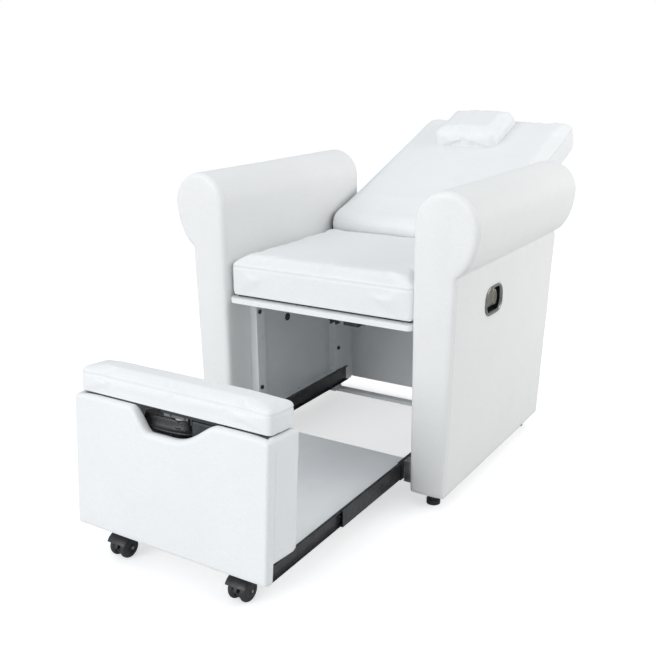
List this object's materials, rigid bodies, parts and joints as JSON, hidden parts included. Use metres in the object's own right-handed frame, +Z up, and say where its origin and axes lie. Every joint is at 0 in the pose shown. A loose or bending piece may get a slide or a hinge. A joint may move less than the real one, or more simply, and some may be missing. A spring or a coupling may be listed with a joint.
{
  "type": "pedicure spa chair",
  "caption": "White upholstered pedicure chair with roll arms, a reclining back, a loose head pillow and a pull-out footrest drawer with a lifting pad.",
  "frame": {"origin": "on the floor in the middle of the whole footprint, between the footrest drawer's front and the back's top edge, halfway between the arms", "axes": "+Z up; -Y is the way the chair faces, where the drawer comes out; +X is the sitter's left, the arm with the release handle"},
  "size_m": [0.852, 1.7788, 0.8732],
  "materials": {
    "leatherette": "soft white synthetic leather, satin",
    "leatherette_side": "soft white synthetic leather, satin",
    "white_paint": "white coated board and steel, satin",
    "black_plastic": "moulded, matt",
    "black_steel": "black coated steel, satin",
    "zinc": "bright zinc plate",
    "chrome": "polished",
    "grey_plastic": "moulded, matt",
    "wheel_rubber": "hard tread, matt"
  },
  "bodies": {
    "chair_frame": {"arm_left": "leatherette", "arm_right": "leatherette", "inner_panels": "white_paint", "front_posts": "white_paint", "rear_posts": "white_paint", "seat_rails": "white_paint", "lower_rails": "white_paint", "seat_crossbars": "white_paint", "rear_floor_bar": "white_paint", "back_panel": "white_paint", "seat_board": "white_paint", "cushion_base": "black_plastic", "seat_cushion": "leatherette", "frame_bolts": "black_steel", "panel_caps": "black_plastic", "arm_glides": "black_plastic", "slide_brackets": "zinc", "slide_outers": "black_steel", "handle_bezel": "chrome", "handle_cup": "black_plastic", "handle_screws": "chrome", "handle_pin": "zinc", "hinge_plates": "black_steel", "hinge_pins": "zinc", "spring_mount": "black_steel", "spring_bolt": "chrome", "spring_release_head": "black_plastic", "gas_spring_cylinder": "black_steel"},
    "reclining_back": {"back_side_plates": "black_steel", "back_board": "white_paint", "back_cushion": "leatherette", "side_peg": "grey_plastic", "recline_crank": "black_steel"},
    "pillow": {"headrest_pillow": "leatherette"},
    "spring_rod": {"gas_spring_rod": "chrome"},
    "lever": {"release_lever": "zinc"},
    "left_middle_slide": {"slide_middle_left": "black_steel"},
    "right_middle_slide": {"slide_middle_right": "black_steel"},
    "footrest_drawer": {"slide_inners": "black_steel", "slide_screws": "zinc", "base_board": "white_paint", "box_front_panel": "leatherette", "box_side_panels": "leatherette_side", "box_rear_panel": "leatherette_side", "lift_tube": "black_steel", "lift_collar": "black_plastic"},
    "foot_pad": {"lift_piston_tube": "chrome", "pad_clamp": "chrome", "pad_mount_plate": "black_steel", "pad_board": "white_paint", "pad_cushion": "leatherette"},
    "paddle": {"pad_paddle": "grey_plastic"},
    "left_caster": {"caster_fork_left": "black_plastic", "caster_axle_left": "zinc"},
    "right_caster": {"caster_fork_right": "black_plastic", "caster_axle_right": "zinc"},
    "left_outer_wheel": {"wheel_left_outer": "wheel_rubber"},
    "left_inner_wheel": {"wheel_left_inner": "wheel_rubber"},
    "right_inner_wheel": {"wheel_right_inner": "wheel_rubber"},
    "right_outer_wheel": {"wheel_right_outer": "wheel_rubber"}
  },
  "joints": [
    {"name": "recline", "type": "hinge", "parent": "chair_frame", "child": "reclining_back", "pos_m": [0, 0.22858, 0.568], "axis": [1, 0, 0], "range_deg": [0, 50]},
    {"name": "spring_rod_slide", "type": "slide", "parent": "chair_frame", "child": "spring_rod", "axis": [0, 1, 0], "range_m": [0, 0.162]},
    {"name": "pillow_slide", "type": "slide", "parent": "reclining_back", "child": "pillow", "axis": [0, 0.9397, 0.342], "range_m": [-0.18, 0.02]},
    {"name": "lever_pull", "type": "hinge", "parent": "chair_frame", "child": "lever", "pos_m": [0.357, -0.10042, 0.48], "axis": [0, 0, -1], "range_deg": [0, 22], "stiffness_Nm_per_rad": 0.4, "springref_deg": -11.46},
    {"name": "drawer_slide", "type": "slide", "parent": "chair_frame", "child": "footrest_drawer", "axis": [0, -1, 0], "range_m": [-0.536, 0]},
    {"name": "left_middle_slide", "type": "slide", "parent": "chair_frame", "child": "left_middle_slide", "axis": [0, -1, 0], "range_m": [-0.268, 0]},
    {"name": "right_middle_slide", "type": "slide", "parent": "chair_frame", "child": "right_middle_slide", "axis": [0, -1, 0], "range_m": [-0.268, 0]},
    {"name": "pad_lift", "type": "slide", "parent": "footrest_drawer", "child": "foot_pad", "axis": [0, 0.0767, 0.9971], "range_m": [0, 0.12]},
    {"name": "paddle_press", "type": "hinge", "parent": "foot_pad", "child": "paddle", "pos_m": [0.0855, -0.83473, 0.35763], "axis": [1, 0, 0], "range_deg": [0, 18], "stiffness_Nm_per_rad": 0.1, "springref_deg": -11.46},
    {"name": "left_caster_swivel", "type": "hinge", "parent": "footrest_drawer", "child": "left_caster", "pos_m": [-0.1635, -0.82642, 0.062], "axis": [0, 0, 1], "continuous": true},
    {"name": "left_outer_wheel_spin", "type": "hinge", "parent": "left_caster", "child": "left_outer_wheel", "pos_m": [-0.1635, -0.84642, 0.025], "axis": [1, 0, 0], "continuous": true},
    {"name": "left_inner_wheel_spin", "type": "hinge", "parent": "left_caster", "child": "left_inner_wheel", "pos_m": [-0.1635, -0.84642, 0.025], "axis": [1, 0, 0], "continuous": true},
    {"name": "right_caster_swivel", "type": "hinge", "parent": "footrest_drawer", "child": "right_caster", "pos_m": [0.1635, -0.82642, 0.062], "axis": [0, 0, 1], "continuous": true},
    {"name": "right_outer_wheel_spin", "type": "hinge", "parent": "right_caster", "child": "right_outer_wheel", "pos_m": [0.1635, -0.84642, 0.025], "axis": [1, 0, 0], "continuous": true},
    {"name": "right_inner_wheel_spin", "type": "hinge", "parent": "right_caster", "child": "right_inner_wheel", "pos_m": [0.1635, -0.84642, 0.025], "axis": [1, 0, 0], "continuous": true}
  ],
  "couplings": [
    {"joint": "spring_rod_slide", "follows": "recline", "m_per_rad": 0.18487},
    {"joint": "left_middle_slide", "follows": "drawer_slide", "ratio": 0.5},
    {"joint": "right_middle_slide", "follows": "drawer_slide", "ratio": 0.5}
  ]
}
